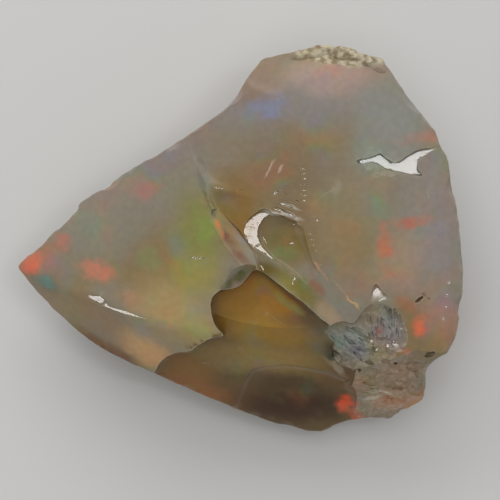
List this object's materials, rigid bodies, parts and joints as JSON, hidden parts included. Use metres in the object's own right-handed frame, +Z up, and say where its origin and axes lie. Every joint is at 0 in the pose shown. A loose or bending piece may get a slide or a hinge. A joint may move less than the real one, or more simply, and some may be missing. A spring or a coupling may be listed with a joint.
{
  "type": "rough opal",
  "caption": "Rough opal piece: a translucent honey and milky chunk of broken nodule, pointed at one end, with shell-like fracture faces, a deep hollow, chipped rims and a strip of beige crust.",
  "frame": {"origin": "on the resting plane, under the middle of the bounding box", "axes": "+X along the longest extent, from the pointed end to the chipped broad rim; +Y towards the crusted end; +Z up from the resting face"},
  "size_m": [0.03, 0.026, 0.0103],
  "materials": {
    "opal": "glossy, milky and honey-coloured"
  },
  "bodies": {
    "root": {"opal": "opal"}
  },
  "joints": []
}
